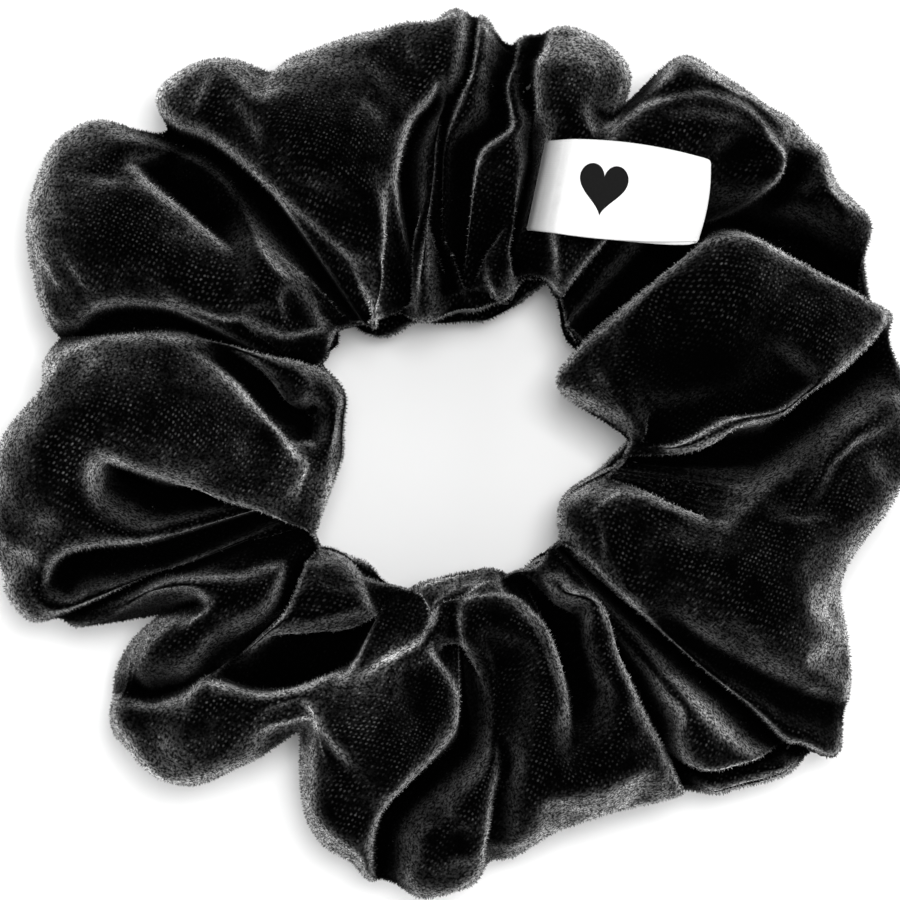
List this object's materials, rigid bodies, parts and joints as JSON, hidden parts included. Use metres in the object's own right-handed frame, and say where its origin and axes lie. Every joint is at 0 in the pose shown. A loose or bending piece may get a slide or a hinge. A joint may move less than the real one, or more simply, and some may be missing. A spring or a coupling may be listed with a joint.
{
  "type": "scrunchie",
  "caption": "Gathered velvet scrunchie: a soft pleated ring over a flat elastic band, with a folded satin label that carries a small heart.",
  "frame": {"origin": "middle of the ring, on the plane that its underside lies on", "axes": "+Z along the ring's axis, up from the underside; +Y toward the side that holds the closing seam and the label; +X to the right, seen from above"},
  "size_m": [0.108, 0.1082, 0.028],
  "materials": {
    "velvet": "black knitted velvet, short pile with a soft bright sheen at grazing angles",
    "elastic": "flat braided elastic, matte",
    "pale_thread": "polyester sewing thread",
    "black_thread": "polyester sewing thread",
    "satin": "white woven satin ribbon with a soft gloss",
    "print": "black heat-transfer print"
  },
  "bodies": {
    "seam_side": {"sleeve_label_half": "velvet", "elastic_label_half": "elastic", "elastic_join": "pale_thread", "long_seam_label_half": "black_thread", "closing_seam": "black_thread"},
    "far_side": {"sleeve_far_half": "velvet", "elastic_far_half": "elastic", "long_seam_far_half": "black_thread"},
    "label": {"label_ribbon": "satin", "label_heart": "print"}
  },
  "joints": [
    {"name": "stretch", "type": "slide", "parent": "seam_side", "child": "far_side", "axis": [0, -1, 0], "range_m": [0, 0.06], "stiffness_N_per_m": 80},
    {"name": "label_flap", "type": "hinge", "parent": "seam_side", "child": "label", "pos_m": [0.0106, 0.03255, 0.0271], "axis": [-0.0872, -0.9962, 0], "range_deg": [0, 110]}
  ]
}
